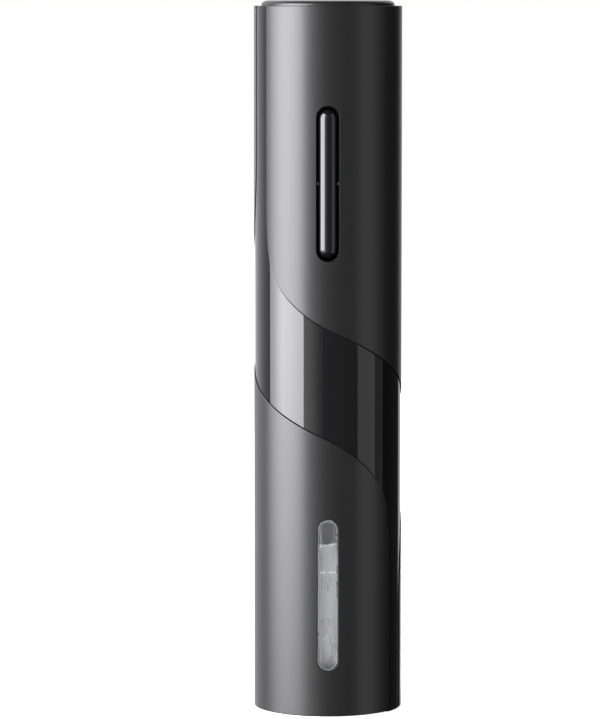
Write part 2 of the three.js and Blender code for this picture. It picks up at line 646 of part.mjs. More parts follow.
function contacts() {
  const [first, second, third, fourth] = CELLS;
  const { padGap } = CONTACT;
  const { gap } = SPRING;
  const baseSeat = CONTACT.base + CONTACT.thickness + gap;
  piece('terminal_minus', contact([first], CONTACT.base, CELL.bottom - padGap), SPRING_WIRE);
  piece('terminal_plus', contact([second], CONTACT.base, CELL.bottom - padGap), SPRING_WIRE);
  piece('base_bridge', contact([third, fourth], CONTACT.base, CELL.bottom - padGap), SPRING_WIRE);
  piece('base_spring_1', coneSpring(first, baseSeat, CELL.bottom - gap), SPRING_WIRE);
  piece('base_spring_2', coneSpring(third, baseSeat, CELL.bottom - gap), SPRING_WIRE);
  piece('lid_bridge_1', contact([first, fourth], CONTACT.lid, CELL.top + padGap), SPRING_WIRE);
  piece('lid_bridge_2', contact([second, third], CONTACT.lid, CELL.top + padGap), SPRING_WIRE);
  piece('lid_spring_1', coneSpring(fourth, CONTACT.lid - gap, CELL.top + gap), SPRING_WIRE);
  piece('lid_spring_2', coneSpring(second, CONTACT.lid - gap, CELL.top + gap), SPRING_WIRE);
}

// ---------- Lid ----------

// A helical bar from one angle to another, with the lid thread's rise.
function threadBar(from, to, { z, halfHeight, inner, outer, zeroAngle }) {
  const steps = Math.max(2, Math.ceil((to - from) / 12));
  const stations = [];
  for (let i = 0; i <= steps; i += 1) {
    const angle = from + (to - from) * i / steps;
    const middle = z + (angle - zeroAngle) * THREAD_RISE;
    stations.push([angle, middle - halfHeight, middle + halfHeight]);
  }
  return bentPlate(stations, inner, outer);
}

function lid() {
  const { radius, seat, top, edge } = LID;
  const crown = turned([
    [0, seat], [radius, seat], [radius, top - edge], [radius - 0.3 * edge, top - 0.3 * edge],
    [radius - edge, top], [0, top],
  ], 48);
  const skirt = ring(SKIRT.inner, SKIRT.outer, [SKIRT.bottom, seat + 0.2], 48);
  const socket = ring(LID_SOCKET.inner, LID_SOCKET.outer, [LID_SOCKET.bottom, seat + 0.2], 20);
  const lugs = LUG.angles.map((angle) => threadBar(angle - LUG.half, angle + LUG.half, {
    ...LUG, inner: SKIRT.outer - 0.4, outer: LUG.tip, zeroAngle: angle,
  }));
  piece('lid_cap', joined([crown, skirt, socket, ...lugs]), MATTE_BLACK);

  const grooves = LUG.angles.map((angle) => threadBar(angle - LUG.half - 1, angle + LUG.half + THREAD_RUN, {
    z: LUG.z,
    halfHeight: LUG.halfHeight + FIT,
    inner: NECK.inner - OVERCUT,
    outer: LUG.tip + FIT,
    zeroAngle: angle,
  }));
  piece('neck_ring', cut(ring(NECK.inner, NECK.outer, [NECK.bottom, NECK.top], 48), grooves), INNER_BLACK);

  const { disc, bottom, top: discTop, post, postTop } = LID_CARRIER;
  piece('lid_carrier', turned([
    [0, bottom], [disc, bottom], [disc, discTop], [post, discTop], [post, postTop], [0, postTop],
  ]), INNER_BLACK);
}

outerBody();
windowLens();
mouth();
corkChamber();
corkscrew();
gearbox();
motor();
chassis();
rocker();
rockerFrame();
switches();
batteryTray();
batteries();
contacts();
lid();

export default opener;
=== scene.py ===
import json
import math

import bmesh
import bpy
import numpy as np
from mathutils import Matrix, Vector
from mathutils.geometry import delaunay_2d_cdt


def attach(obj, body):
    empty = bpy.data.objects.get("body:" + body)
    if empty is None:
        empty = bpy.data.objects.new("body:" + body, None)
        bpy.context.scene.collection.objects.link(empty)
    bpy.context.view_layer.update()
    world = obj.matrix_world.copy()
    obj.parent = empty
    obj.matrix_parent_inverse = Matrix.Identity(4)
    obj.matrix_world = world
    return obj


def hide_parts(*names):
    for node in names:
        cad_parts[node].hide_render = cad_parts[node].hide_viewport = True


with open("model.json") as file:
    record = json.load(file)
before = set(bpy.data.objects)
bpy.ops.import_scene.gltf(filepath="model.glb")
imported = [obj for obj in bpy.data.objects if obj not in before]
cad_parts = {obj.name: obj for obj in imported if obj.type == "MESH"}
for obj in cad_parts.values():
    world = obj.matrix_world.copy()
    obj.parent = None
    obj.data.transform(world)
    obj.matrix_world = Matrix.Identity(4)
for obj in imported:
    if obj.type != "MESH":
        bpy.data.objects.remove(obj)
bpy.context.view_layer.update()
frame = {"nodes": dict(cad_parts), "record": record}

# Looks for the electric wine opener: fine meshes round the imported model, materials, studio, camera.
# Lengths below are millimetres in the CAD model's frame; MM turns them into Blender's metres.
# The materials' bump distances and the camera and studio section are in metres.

MM = 0.001

# ---------- Sizes ----------

SLEEVE_RADIUS = 25.0
SLEEVE_INNER = 24.05
GLOSS_RADIUS = 24.7
RECESS_RADIUS = 23.85
TUBE_INNER = 22.6
BODY_TOP = 238.2
LIP_INNER = 22.75
LIP_THICKNESS = 1.2
SLEEVE_BOTTOM = 0.3
SWIRL_CENTRE = 112.0
SEAM_GAP = 0.12
EDGE_ROUNDING = 0.2
HOLE_ROUNDING = 0.06
WINDOW_GAP = 0.25

SLOT_WIDTH, SLOT_HEIGHT, SLOT_Z = 7.9, 51.9, 179.2
WINDOW_WIDTH, WINDOW_HEIGHT, WINDOW_Z = 6.7, 50.9, 41.2
LENS_OUTER = 24.6
LENS_FLANGE_WIDTH, LENS_FLANGE_HEIGHT = 9.6, 54.8
LENS_FLANGE_INNER, LENS_FLANGE_OUTER = 21.2, 22.35

ROCKER_WIDTH, ROCKER_HEIGHT = 6.5, 49.9
ROCKER_CREST, ROCKER_BACK, ROCKER_EAR_BACK = 26.0, 20.6, 19.9

GUIDE_RADIUS, GUIDE_TOP, LOW_RING_HEIGHT = 17.8, 57.8, 48.2
WORM_RADIUS, WORM_WIRE, WORM_PITCH = 3.3, 1.4, 9.0
CHAMBER_RIBS = 6

LID_RADIUS, LID_TOP = 22.5, 240.0
LUG_ANGLES = (40, 160, 280)
LUG_RADIUS = 21.2
CELL_BOTTOM, CELL_TOP = 172.0, 222.3
CELLS = ((-7.5, -7.5, True), (7.5, -7.5, False), (7.5, 7.5, True), (-7.5, 7.5, False))

PERIOD = 2 * math.pi * SLEEVE_RADIUS
DEGREE = PERIOD / 360


# ---------- Mesh helpers ----------

def add_piece(name, vertices, faces, body, material, replaced=()):
    """Makes an object from vertices in metres and says which body and slot it belongs to."""
    mesh = bpy.data.meshes.new(name)
    mesh.from_pydata([tuple(v) for v in vertices], [], [tuple(f) for f in faces])
    mesh.update()
    mesh.shade_smooth()
    piece = bpy.data.objects.new(name, mesh)
    bpy.context.collection.objects.link(piece)
    mesh.materials.append(material)
    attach(piece, body)
    if replaced:
        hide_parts(*replaced)
    return piece


def even_normals(piece):
    """Weights the shading by face size, so that flats stay flat beside rounded edges."""
    modifier = piece.modifiers.new("even_normals", "WEIGHTED_NORMAL")
    modifier.weight = 100
    return piece


def filleted(profile, radius, closed, steps=4):
    """Rounds the corners of a turned profile of (radius, height) points."""
    count = len(profile)
    rounded = []
    for i, corner in enumerate(profile):
        if not closed and i in (0, count - 1):
            rounded.append(tuple(corner))
            continue
        here = Vector(corner)
        before = Vector(profile[i - 1]) - here
        after = Vector(profile[(i + 1) % count]) - here
        turn = math.pi - before.angle(after)
        reach = min(radius * math.tan(turn / 2), 0.45 * before.length, 0.45 * after.length)
        arc_radius = reach / math.tan(turn / 2)
        start = here + before.normalized() * reach
        end = here + after.normalized() * reach
        bisector = (before.normalized() + after.normalized()).normalized()
        centre = here + bisector * math.hypot(reach, arc_radius)
        first = start - centre
        sweep = first.angle_signed(end - centre)
        for k in range(steps + 1):
            angle = -sweep * k / steps
            spun = Vector((
                first.x * math.cos(angle) - first.y * math.sin(angle),
                first.x * math.sin(angle) + first.y * math.cos(angle),
            ))
            rounded.append(tuple(centre + spun))
    return rounded


def lathe(profile, segments=144, centre=(0.0, 0.0)):
    """Turns a profile of (radius, height) points, closed on itself or from axis to axis."""
    on_axis = [radius < 1e-6 for radius, _ in profile]
    closed = not (on_axis[0] and on_axis[-1])
    vertices = []
    rings = []
    for (radius, height), pole in zip(profile, on_axis):
        if pole:
            rings.append([len(vertices)] * segments)
            vertices.append((centre[0] * MM, centre[1] * MM, height * MM))
            continue
        rings.append(list(range(len(vertices), len(vertices) + segments)))
        for k in range(segments):
            turn = 2 * math.pi * k / segments
            x = centre[0] + radius * math.cos(turn)
            y = centre[1] + radius * math.sin(turn)
            vertices.append((x * MM, y * MM, height * MM))
    faces = []
    pairs = len(profile) if closed else len(profile) - 1
    for i in range(pairs):
        low, high = rings[i], rings[(i + 1) % len(rings)]
        for k in range(segments):
            n = (k + 1) % segments
            corners = dict.fromkeys((low[k], low[n], high[n], high[k]))
            faces.append(tuple(corners))
    return vertices, faces


def turned_piece(name, profile, body, material, replaced=(), rounding=0.3, segments=144,
                 centre=(0.0, 0.0)):
    closed = profile[0][0] > 1e-6
    vertices, faces = lathe(filleted(profile, rounding, closed), segments, centre)
    return even_normals(add_piece(name, vertices, faces, body, material, replaced))


def pill_points(width, height, z, arc_steps=12, side_steps=12):
    """A slot outline, anticlockwise seen from the front, as (x, z) points."""
    radius = width / 2
    reach = height / 2 - radius
    points = []
    for k in range(arc_steps + 1):
        turn = math.pi * k / arc_steps
        points.append((radius * math.cos(turn), z + reach + radius * math.sin(turn)))
    for k in range(1, side_steps):
        points.append((-radius, z + reach - 2 * reach * k / side_steps))
    for k in range(arc_steps + 1):
        turn = math.pi + math.pi * k / arc_steps
        points.append((radius * math.cos(turn), z - reach + radius * math.sin(turn)))
    for k in range(1, side_steps):
        points.append((radius, z - reach + 2 * reach * k / side_steps))
    return points


def sweep(path, radii, sides=20):
    """A round wire along a path of 3D points in millimetres, closed at both ends."""
    points = [Vector(p) for p in path]
    vertices = []
    faces = []
    tangent = (points[1] - points[0]).normalized()
    side = tangent.orthogonal().normalized()
    last = len(points) - 1
    for i, (point, radius) in enumerate(zip(points, radii)):
        along = (points[min(i + 1, last)] - points[max(i - 1, 0)]).normalized()
        side = (side - along * side.dot(along)).normalized()
        other = along.cross(side)
        for k in range(sides):
            turn = 2 * math.pi * k / sides
            vertices.append((point + radius * (math.cos(turn) * side + math.sin(turn) * other)) * MM)
    for i in range(last):
        for k in range(sides):
            n = (k + 1) % sides
            faces.append((i * sides + k, i * sides + n, (i + 1) * sides + n, (i + 1) * sides + k))
    faces.append(tuple(reversed(range(sides))))
    faces.append(tuple(range(last * sides, (last + 1) * sides)))
    return vertices, faces


# ---------- Panels bent round the body ----------
# A panel is drawn flat as (distance round the body, height) with the body's front at 0, then bent.
# A loop is a closed outline; a rim runs once round the body. Both keep the material on their left.

class Outline:
    def __init__(self, points, laps=0, rounding=None):
        self.points = np.array(points, dtype=float)
        self.laps = laps
        self.rounding = rounding

    def miters(self):
        """For each point, how far to move for one millimetre of outset, as a vector."""
        before = np.roll(self.points, 1, axis=0)
        after = np.roll(self.points, -1, axis=0)
        before[0, 0] -= self.laps * PERIOD
        after[-1, 0] += self.laps * PERIOD
        first = right_normals(self.points - before)
        second = right_normals(after - self.points)
        middle = first + second
        middle /= np.linalg.norm(middle, axis=1, keepdims=True)
        spread = np.clip((middle * first).sum(axis=1, keepdims=True), 0.35, 1)
        return middle / spread


def right_normals(steps):
    normals = np.stack([steps[:, 1], -steps[:, 0]], axis=1)
    return normals / np.linalg.norm(normals, axis=1, keepdims=True)


def inside(points, loops):
    """Which points are inside an odd number of closed loops."""
    result = np.zeros(len(points), dtype=bool)
    x, y = points[:, 0], points[:, 1]
    for loop in loops:
        for (x0, y0), (x1, y1) in zip(loop, np.roll(loop, -1, axis=0)):
            if y0 == y1:
                continue
            crosses = ((y0 > y) != (y1 > y)) & (x < (x1 - x0) * (y - y0) / (y1 - y0) + x0)
            result ^= crosses
    return result


def clear_of(points, others, distance):
    """Which points are at least a distance from every point of the others."""
    result = np.ones(len(points), dtype=bool)
    for other in others:
        result &= np.hypot(points[:, 0] - other[0], points[:, 1] - other[1]) > distance
    return result


def bent(flat, radius):
    turn = flat[:, 0] / SLEEVE_RADIUS
    radius = np.broadcast_to(radius, turn.shape)
    return np.stack([radius * np.sin(turn), -radius * np.cos(turn), flat[:, 1]], axis=1) * MM


def bent_directions(flat, directions):
    """Unit vectors in space for flat directions at flat places."""
    turn = flat[:, 0] / SLEEVE_RADIUS
    round_body = np.stack([np.cos(turn), np.sin(turn), np.zeros_like(turn)], axis=1)
    up = np.array([0.0, 0.0, 1.0])
    return directions[:, :1] * round_body + directions[:, 1:] * up


def outline_edges(outlines, starts):
    """Pairs of neighbouring point numbers along every outline."""
    edges = []
    for start, outline in zip(starts, outlines):
        count = len(outline.points)
        edges += [(start + i, start + (i + 1) % count) for i in range(count)]
    return edges


def opened_behind(flat, low_loop, high_loop, row):
    """Cuts a panel that goes all round along a line behind the body, so that it can be filled.

    Returns the points that the cut adds, the loop round the opened panel, and the number of the
    point that each copied point stands for.
    """
    x_cut, z_low = flat[low_loop[0]]
    z_high = flat[high_loop[-1], 1]
    heights = np.arange(z_low + row, z_high - 0.5 * row, row)
    added = [(x_cut, z) for z in heights]
    added += [(x_cut + PERIOD, z) for z in heights]
    added += [(x_cut + PERIOD, z_low), (x_cut + PERIOD, z_high)]
    first = len(flat)
    left = list(range(first, first + len(heights)))
    right = [i + len(heights) for i in left]
    end_low = first + 2 * len(heights)
    end_high = end_low + 1
    loop = low_loop + [end_low] + right + [end_high] + high_loop + left[::-1]
    copies = dict(zip(right, left))
    copies[end_low] = low_loop[0]
    copies[end_high] = high_loop[-1]
    return added, loop, copies


def filled_face(face, loops, column, row):
    """Fills flat loops with triangles over a grid. Returns the grid's points and the triangles."""
    corners = [face[ids] for ids in loops]
    low, high = face.min(axis=0), face.max(axis=0)
    columns = max(3, round((high[0] - low[0]) / column) + 1)
    rows = max(3, round((high[1] - low[1]) / row) + 1)
    grid_x, grid_z = np.meshgrid(
        np.linspace(low[0], high[0], columns)[1:-1],
        np.linspace(low[1], high[1], rows)[1:-1],
    )
    grid = np.stack([grid_x.ravel(), grid_z.ravel()], axis=1)
    grid = grid[inside(grid, corners)]
    grid = grid[clear_of(grid, np.concatenate(corners), 0.6 * column)]
    constraints = []
    for ids in loops:
        constraints += list(zip(ids, ids[1:] + ids[:1]))
    everything = [Vector(p) for p in np.concatenate([face, grid])]
    points, _, triangles, sources = delaunay_2d_cdt(everything, constraints, [], 0, 1e-7)[:4]
    centres = np.array([np.mean([points[i] for i in t], axis=0) for t in triangles])
    keep = inside(centres, corners)
    source = [s[0] for s in sources]
    return grid, [tuple(source[i] for i in t) for t, kept in zip(triangles, keep) if kept]


def shell(flat, outset, edge_radius, edges, triangles, inner, outer, arc_steps):
    """Stacks the face, the rings of its rounded edge and the back, with normals for each corner."""
    total = len(flat)
    turn = flat[:, 0] / SLEEVE_RADIUS
    radial = np.stack([np.sin(turn), -np.cos(turn), np.zeros_like(turn)], axis=1)
    unit_outset = outset / np.maximum(np.linalg.norm(outset, axis=1, keepdims=True), 1e-9)
    sideways = bent_directions(flat, unit_outset)
    levels = []
    normals = []
    for k in range(arc_steps + 1):
        angle = math.pi / 2 * k / arc_steps
        place = flat - outset * edge_radius[:, None] * (1 - math.sin(angle))
        levels.append(bent(place, outer - edge_radius * (1 - math.cos(angle))))
        normals.append(radial * math.cos(angle) + sideways * math.sin(angle))
    levels.append(bent(flat, inner))
    normals.append(sideways)
    back = (arc_steps + 1) * total

    faces = []
    corner_normals = []
    for a, b, c in triangles:
        faces.append((a, b, c))
        corner_normals += [radial[a], radial[b], radial[c]]
        faces.append((c + back, b + back, a + back))
        corner_normals += [-radial[c], -radial[b], -radial[a]]
    for k in range(arc_steps + 1):
        near, far = k * total, (k + 1) * total
        for a, b in edges:
            faces.append((a + far, b + far, b + near, a + near))
            corner_normals += [normals[k + 1][a], normals[k + 1][b], normals[k][b], normals[k][a]]
    return np.concatenate(levels), faces, corner_normals


def used_only(vertices, faces):
    """Drops the vertices that no face uses."""
    used = sorted({i for face in faces for i in face})
    order = {old: new for new, old in enumerate(used)}
    return vertices[used], [[order[i] for i in face] for face in faces]


def panel(name, outlines, inner, outer, body, material, replaced=(),
          rounding=EDGE_ROUNDING, column=1.1, row=5.0, arc_steps=4):
    """A closed shell between two radii with its outer edges rounded and exact shading normals."""
    flat = np.concatenate([o.points for o in outlines])
    outset = np.concatenate([o.miters() for o in outlines])
    edge_radius = np.concatenate([
        np.full(len(o.points), rounding if o.rounding is None else o.rounding) for o in outlines
    ])
    starts = np.cumsum([0] + [len(o.points) for o in outlines])
    edges = outline_edges(outlines, starts)
    numbers = [list(range(start, start + len(o.points))) for start, o in zip(starts, outlines)]
    loops = [ids for ids, o in zip(numbers, outlines) if not o.laps]
    rims = [ids for ids, o in zip(numbers, outlines) if o.laps]

    copies = {}
    if rims:
        added, loop, copies = opened_behind(flat, *rims, row)
        loops.insert(0, loop)
        flat = np.concatenate([flat, np.array(added)])
        outset = np.concatenate([outset, np.zeros((len(added), 2))])
        edge_radius = np.concatenate([edge_radius, np.full(len(added), rounding)])
        for copy, original in copies.items():
            outset[copy] = outset[original]

    face = flat - outset * edge_radius[:, None]
    grid, triangles = filled_face(face, loops, column, row)
    triangles = [tuple(copies.get(i, i) for i in t) for t in triangles]
    flat = np.concatenate([flat, grid])
    outset = np.concatenate([outset, np.zeros_like(grid)])
    edge_radius = np.concatenate([edge_radius, np.full(len(grid), rounding)])

    vertices, faces, corner_normals = shell(
        flat, outset, edge_radius, edges, triangles, inner, outer, arc_steps)
    vertices, faces = used_only(vertices, faces)
    piece = add_piece(name, vertices, faces, body, material, replaced)
    piece.data.normals_split_custom_set([Vector(n).normalized() for n in corner_normals])
    return piece


def bezier(start, first, second, end, steps):
    """Points along a cubic curve, without its last point."""
    points = []
    for k in range(steps):
        t = k / steps
        u = 1 - t
        points.append(tuple(
            u**3 * a + 3 * u * u * t * b + 3 * u * t * t * c + t**3 * d
            for a, b, c, d in zip(start, first, second, end)
        ))
    return points


def sleeve_edge(steps=26):
    """The upper sleeve's lower edge from its left side round to its back, as (degrees, height)."""
    stretches = [
        [(-56, 172), (-56, 157.6), (-51.5, 151.5), (-47, 148.1)],
        [(-47, 148.1), (-39, 142.1), (-20, 134.9), (0, 130.6)],
        [(0, 130.6), (30, 124.6), (60, 118), (90, 108.2)],
        [(90, 108.2), (102, 104.6), (120, 104.6), (135, 104.6)],
        [(135, 104.6), (166, 104.6), (226, 138), (262, 156)],
        [(262, 156), (271, 160.5), (283, 173), (283, 189)],
    ]
    points = []
    for stretch in stretches:
        points += bezier(*stretch, steps)
    points.append(stretches[-1][-1])
    return [(angle * DEGREE, z) for angle, z in points]


# ---------- Materials ----------

def material_with_shader(name, color, roughness, metallic=0.0, **sockets):
    material = bpy.data.materials.new(name)
    material.use_nodes = True
    shader = material.node_tree.nodes["Principled BSDF"]
    shader.inputs["Base Color"].default_value = (*color, 1.0)
    shader.inputs["Roughness"].default_value = roughness
    shader.inputs["Metallic"].default_value = metallic
    for socket, value in sockets.items():
        shader.inputs[socket.replace("_", " ")].default_value = value
    return material, shader


def noise(material, scale, detail=2.0, stretch=(1, 1, 1)):
    """Procedural noise in the piece's own coordinates, in features per metre."""
    nodes, links = material.node_tree.nodes, material.node_tree.links
    place = nodes.new("ShaderNodeTexCoord")
    mapping = nodes.new("ShaderNodeMapping")
    mapping.inputs["Scale"].default_value = stretch
    texture = nodes.new("ShaderNodeTexNoise")
    texture.inputs["Scale"].default_value = scale
    texture.inputs["Detail"].default_value = detail
    links.new(place.outputs["Object"], mapping.inputs["Vector"])
    links.new(mapping.outputs["Vector"], texture.inputs["Vector"])
    return texture.outputs["Fac"]


def ramp(material, value, low, high, start=0.3, end=0.7):
    """Maps noise to a range of numbers."""
    node = material.node_tree.nodes.new("ShaderNodeMapRange")
    for socket, number in (("From Min", start), ("From Max", end), ("To Min", low), ("To Max", high)):
        node.inputs[socket].default_value = number
    material.node_tree.links.new(value, node.inputs["Value"])
    return node.outputs["Result"]


def tint(material, shader, value, dark, light):
    """Varies the base colour between two close shades."""
    mix = material.node_tree.nodes.new("ShaderNodeMix")
    mix.data_type = "RGBA"
    mix.inputs["A"].default_value = (*dark, 1.0)
    mix.inputs["B"].default_value = (*light, 1.0)
    material.node_tree.links.new(value, mix.inputs["Factor"])
    material.node_tree.links.new(mix.outputs["Result"], shader.inputs["Base Color"])


def bump(material, shader, height, distance, strength=1.0):
    node = material.node_tree.nodes.new("ShaderNodeBump")
    node.inputs["Strength"].default_value = strength
    node.inputs["Distance"].default_value = distance
    material.node_tree.links.new(height, node.inputs["Height"])
    material.node_tree.links.new(node.outputs["Normal"], shader.inputs["Normal"])


def set_roughness(material, shader, value):
    material.node_tree.links.new(value, shader.inputs["Roughness"])


def matte_black(name="matte_shell"):
    """Satin moulded plastic with a fine grain and faint marks that run round the body."""
    material, shader = material_with_shader(name, (0.008, 0.008, 0.0085), 0.3)
    grain = noise(material, 3200, 3.0)
    rings = noise(material, 900, 1.0, stretch=(0.05, 0.05, 3.0))
    set_roughness(material, shader, ramp(material, rings, 0.315, 0.34))
    tint(material, shader, grain, (0.008, 0.008, 0.0083), (0.012, 0.012, 0.0123))
    bump(material, shader, grain, 0.00002, 0.35)
    return material


def gloss_black(name="gloss_shell"):
    """Piano-black plastic: nearly flawless, with a trace of orange peel."""
    material, shader = material_with_shader(name, (0.004, 0.004, 0.0045), 0.05)
    peel = noise(material, 260, 1.0)
    haze = noise(material, 45, 3.0)
    set_roughness(material, shader, ramp(material, haze, 0.035, 0.075))
    tint(material, shader, haze, (0.0035, 0.0035, 0.004), (0.005, 0.005, 0.0055))
    bump(material, shader, peel, 0.000004, 0.4)
    return material


def clear_plastic():
    material, shader = material_with_shader(
        "window_clear", (0.93, 0.94, 0.95), 0.06, IOR=1.49, Transmission_Weight=1.0)
    haze = noise(material, 700, 2.0, stretch=(1, 1, 0.15))
    set_roughness(material, shader, ramp(material, haze, 0.03, 0.16))
    return material


def frosted_plastic(name, transmission, dark, light, glow=0.0):
    """Clear plastic that looks milky, with the flow marks of its mould. Any glow given is painted light:
    emission on a part that is no lamp.
    """
    material, shader = material_with_shader(
        name, light, 0.3, IOR=1.49, Transmission_Weight=transmission,
        Emission_Color=(1, 1, 1, 1), Emission_Strength=glow)
    flow = noise(material, 240, 3.0, stretch=(1, 1, 0.4))
    set_roughness(material, shader, ramp(material, flow, 0.18, 0.45))
    tint(material, shader, flow, dark, light)
    bump(material, shader, flow, 0.0003, 0.5)
    return material


def moulded_black():
    material, shader = material_with_shader("inner_plastic", (0.03, 0.03, 0.032), 0.5)
    grain = noise(material, 1800, 3.0)
    set_roughness(material, shader, ramp(material, grain, 0.42, 0.6))
    tint(material, shader, grain, (0.026, 0.026, 0.028), (0.038, 0.038, 0.04))
    bump(material, shader, grain, 0.00002, 0.4)
    return material


def metal(name, dark, light, roughness, scale, stretch, depth=0.00001):
    """Metal with machining or rolling marks."""
    material, shader = material_with_shader(name, light, roughness[0], 1.0)
    marks = noise(material, scale, 3.0, stretch=stretch)
    set_roughness(material, shader, ramp(material, marks, *roughness))
    tint(material, shader, marks, dark, light)
    bump(material, shader, marks, depth, 0.3)
    return material


def plain_plastic(name, dark, light, roughness, scale=900):
    material, shader = material_with_shader(name, light, roughness[0])
    grain = noise(material, scale, 3.0)
    set_roughness(material, shader, ramp(material, grain, *roughness))
    tint(material, shader, grain, dark, light)
    bump(material, shader, grain, 0.00002, 0.3)
    return material


MATERIALS = {
    "matte_shell": matte_black(),
    "gloss_shell": gloss_black(),
    "button_gloss": gloss_black("button_gloss"),
    "lid_plastic": matte_black("lid_plastic"),
    "window_clear": clear_plastic(),
    "mouth_clear": frosted_plastic("mouth_clear", 0.25, (0.80, 0.78, 0.78), (1.0, 0.98, 0.98)),
    "frosted_edge": frosted_plastic("frosted_edge", 0.75, (0.55, 0.55, 0.55), (0.75, 0.75, 0.75)),
    # The guide rings' edge material has a painted glow: it emits light though it is no lamp.
    "painted_glow_edge": frosted_plastic("painted_glow_edge", 0.1, (0.94, 0.94, 0.94), (1.0, 1.0, 1.0), 0.28),
    "inner_plastic": moulded_black(),
    "polished_steel": metal(
        "polished_steel", (0.60, 0.61, 0.62), (0.72, 0.73, 0.74), (0.12, 0.24), 700, (1, 1, 0.2)),
    "motor_steel": metal(
        "motor_steel", (0.52, 0.53, 0.54), (0.64, 0.65, 0.66), (0.28, 0.42), 500, (1, 1, 6)),
    "bronze": metal("bronze", (0.50, 0.34, 0.17), (0.62, 0.45, 0.25), (0.3, 0.5), 2200, (1, 1, 1)),
    "nylon": plain_plastic("nylon", (0.74, 0.72, 0.66), (0.83, 0.81, 0.75), (0.4, 0.55)),
    "circuit_board": plain_plastic(
        "circuit_board", (0.03, 0.16, 0.08), (0.05, 0.21, 0.11), (0.3, 0.45), 1500),
    "cell_jacket": metal(
        "cell_jacket", (0.38, 0.40, 0.42), (0.50, 0.52, 0.54), (0.22, 0.34), 300, (1, 1, 0.1)),
    "contact_metal": metal(
        "contact_metal", (0.62, 0.63, 0.64), (0.72, 0.73, 0.74), (0.18, 0.3), 1200, (1, 0.2, 1)),
}


# ---------- Outer body ----------

def line(start, end, step=1.1):
    """Evenly spaced points from start towards end, without the end."""
    start, end = np.array(start, dtype=float), np.array(end, dtype=float)
    count = max(1, math.ceil(np.linalg.norm(end - start) / step))
    return [tuple(start + (end - start) * k / count) for k in range(count)]


def polygon(corners, step=1.1):
    """A closed outline with straight sides, anticlockwise from outside."""
    points = []
    for start, end in zip(corners, corners[1:] + corners[:1]):
        points += line(start, end, step)
    return Outline(points)


def sleeve_outline(end_height):
    """The upper sleeve's outline with its far edge at a height, anticlockwise from outside."""
    edge = sleeve_edge()
    first, last = edge[0], edge[-1]
    points = list(edge[:-1])
    points += line(last, (last[0], end_height), 4.0)
    points += line((last[0], end_height), (first[0], end_height))
    points += line((first[0], end_height), first, 4.0)
    return points


def swirled(points):
    """The same points turned half round on the front of the body."""
    return [(-x, 2 * SWIRL_CENTRE - z) for x, z in points]


def hole(width, height, z):
    return Outline(pill_points(width, height, z)[::-1], rounding=HOLE_ROUNDING)


def band_boundary(end_height):
    """The glossy band's upper boundary from left to right, once round from behind the body."""
    edge = np.array(sleeve_edge())
    steps = np.gradient(edge, axis=0)
    edge = edge + SEAM_GAP * right_normals(steps)
    half = PERIOD / 2
    z_behind = float(np.interp(half, edge[:, 0], edge[:, 1]))
    before = [(x - PERIOD, z) for x, z in edge if x > half + 0.1]
    after = [(x, z) for x, z in edge if x < half - 0.1]
    strip_left, strip_right = before[-1], after[0]
    points = [(-half, z_behind)] + before[:-1]
    points += line(strip_left, (strip_left[0], end_height), 4.0)
    points += line((strip_left[0], end_height), (strip_right[0], end_height))
    points += line((strip_right[0], end_height), strip_right, 4.0)
    return points + after


def body_pieces():
    gloss = MATERIALS["gloss_shell"]
    matte = MATERIALS["matte_shell"]
    half = PERIOD / 2
    core_top = BODY_TOP - LIP_THICKNESS - SEAM_GAP
    slot = hole(SLOT_WIDTH, SLOT_HEIGHT, SLOT_Z)
    window = hole(WINDOW_WIDTH + 2 * WINDOW_GAP, WINDOW_HEIGHT + 2 * WINDOW_GAP, WINDOW_Z)

    core_rims = [
        Outline(line((-half, 0), (half, 0)), 1),
        Outline([(x, core_top) for x, _ in line((-half, 0), (half, 0))][::-1], -1),
    ]
    panel("core_tube", core_rims + [slot, window], TUBE_INNER, RECESS_RADIUS - 0.05, "root",
          gloss, ("body_tube",), row=8.0)

    upper = band_boundary(BODY_TOP)
    lower = swirled(band_boundary(2 * SWIRL_CENTRE))[::-1]
    lower_rim = Outline([(-half, lower[0][1])] + [p for p in lower if -half < p[0] < half], 1)
    panel("gloss_band", [lower_rim, Outline(upper[::-1], -1)], RECESS_RADIUS - 0.1, GLOSS_RADIUS,
          "root", gloss, ("body_tube",))

    panel("upper_sleeve_skin", [Outline(sleeve_outline(BODY_TOP)), slot], SLEEVE_INNER, SLEEVE_RADIUS,
          "root", matte, ("upper_sleeve",))
    lower_outline = swirled(sleeve_outline(2 * SWIRL_CENTRE - SLEEVE_BOTTOM))
    panel("lower_sleeve_skin", [Outline(lower_outline), window], SLEEVE_INNER, SLEEVE_RADIUS,
          "root", matte, ("lower_sleeve",))


def lip_pieces():
    """The sleeve's lip over the tube's top, and the tube's own end in the glossy strip."""
    edge = sleeve_edge()
    low, high = BODY_TOP - LIP_THICKNESS, BODY_TOP - 0.01
    left, right = edge[0][0], edge[-1][0]

    def collar(start, end, bottom):
        return [polygon([(start, bottom), (end, bottom), (end, high), (start, high)])]

    panel("upper_sleeve_lip", collar(left, right, low), LIP_INNER, SLEEVE_INNER + 0.4, "root",
          MATERIALS["matte_shell"], ("upper_sleeve",), rounding=0.05, arc_steps=1)
    panel("gloss_band_end", collar(right - PERIOD + SEAM_GAP, left - SEAM_GAP, low - 0.5), TUBE_INNER,
          RECESS_RADIUS + 0.2, "root", MATERIALS["gloss_shell"], ("body_tube",),
          rounding=0.05, arc_steps=1)


